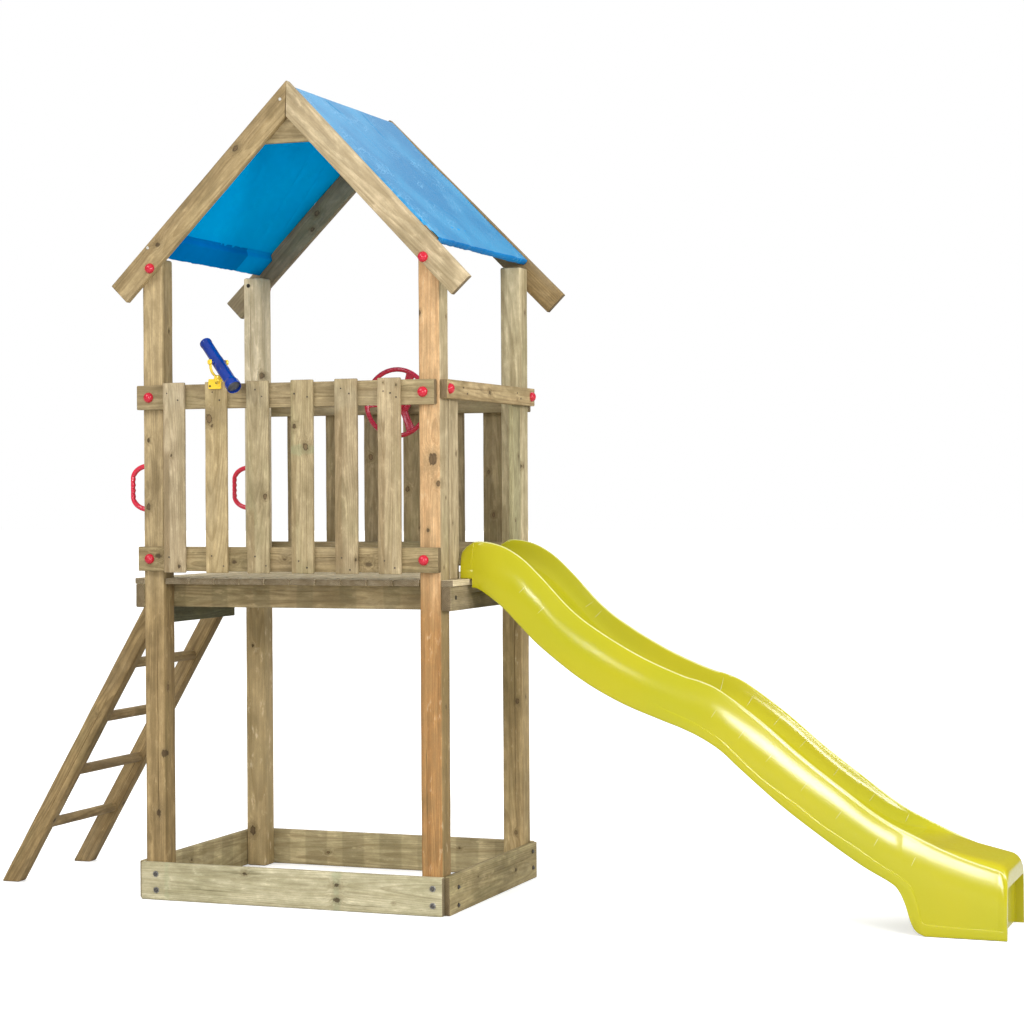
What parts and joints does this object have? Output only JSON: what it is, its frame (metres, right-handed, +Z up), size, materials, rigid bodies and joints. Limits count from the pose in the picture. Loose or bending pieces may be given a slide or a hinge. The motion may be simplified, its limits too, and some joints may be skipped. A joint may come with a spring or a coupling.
{
  "type": "play tower",
  "caption": "Timber garden play tower with a raised deck, tarpaulin gable roof, slatted sides, ladder, wavy slide, steering wheel, telescope and grab handles.",
  "frame": {"origin": "middle of the whole object's footprint, on the ground", "axes": "+X from the ladder towards the slide, +Y from the front towards the back, +Z up"},
  "size_m": [3.9045, 1.1288, 3.0166],
  "materials": {
    "pine": "pressure-treated, unpainted",
    "pine_orange": "unpainted, less green",
    "tarpaulin": "woven, slight sheen",
    "slide_plastic": "gloss",
    "red_plastic": "gloss",
    "wheel_plastic": "gloss",
    "steel": "zinc plated",
    "yellow_plastic": "gloss",
    "blue_plastic": "gloss"
  },
  "bodies": {
    "tower": {"post_front_left": "pine", "post_back_left": "pine", "post_back_right": "pine", "base_board_front": "pine", "base_board_back": "pine", "base_board_left": "pine", "base_board_right": "pine", "joist_left": "pine", "joist_right": "pine", "joist_front": "pine", "joist_back": "pine", "deck_boards": "pine", "front_rail_top": "pine", "front_rail_bottom": "pine", "front_slat_1": "pine", "front_slat_2": "pine", "front_slat_3": "pine", "front_slat_4": "pine", "front_slat_5": "pine", "front_slat_6": "pine", "back_panel": "pine", "side_rail": "pine", "side_slat_front": "pine", "side_slat_back": "pine", "rafter_front_left": "pine", "rafter_front_right": "pine", "rafter_back_left": "pine", "rafter_back_right": "pine", "gusset_front": "pine", "gusset_back": "pine", "ridge_batten": "pine", "eave_batten_left": "pine", "eave_batten_right": "pine", "ladder_stringer_front": "pine", "ladder_stringer_back": "pine", "ladder_rung_1": "pine", "ladder_rung_2": "pine", "ladder_rung_3": "pine", "ladder_rung_4": "pine", "ladder_batten": "pine", "post_front_right": "pine_orange", "roof_tarp": "tarpaulin", "slide": "slide_plastic", "grab_handle_front": "red_plastic", "grab_handle_back": "red_plastic", "rail_bolt_top_left": "red_plastic", "rail_bolt_top_right": "red_plastic", "rail_bolt_bottom_left": "red_plastic", "rail_bolt_bottom_right": "red_plastic", "roof_bolt_front_left": "red_plastic", "roof_bolt_front_right": "red_plastic", "roof_bolt_back_left": "red_plastic", "roof_bolt_back_right": "red_plastic", "side_bolt_front": "red_plastic", "side_bolt_back": "red_plastic", "wheel_spindle": "steel", "telescope_bracket": "yellow_plastic"},
    "wheel": {"steering_wheel": "wheel_plastic"},
    "fork": {"telescope_fork": "yellow_plastic"},
    "telescope": {"telescope_tube": "blue_plastic"}
  },
  "joints": [
    {"name": "wheel_spin", "type": "hinge", "parent": "tower", "child": "wheel", "pos_m": [-0.5428, 0.4621, 1.872], "axis": [0, -1, 0], "continuous": true},
    {"name": "telescope_pan", "type": "hinge", "parent": "tower", "child": "fork", "pos_m": [-0.8638, -0.4729, 1.945], "axis": [0, 0, 1], "range_deg": [-146.2, 33.8]},
    {"name": "telescope_tilt", "type": "hinge", "parent": "fork", "child": "telescope", "pos_m": [-0.8638, -0.4729, 1.995], "axis": [-0.5563, -0.831, 0], "range_deg": [-6.2, 58.8]}
  ]
}
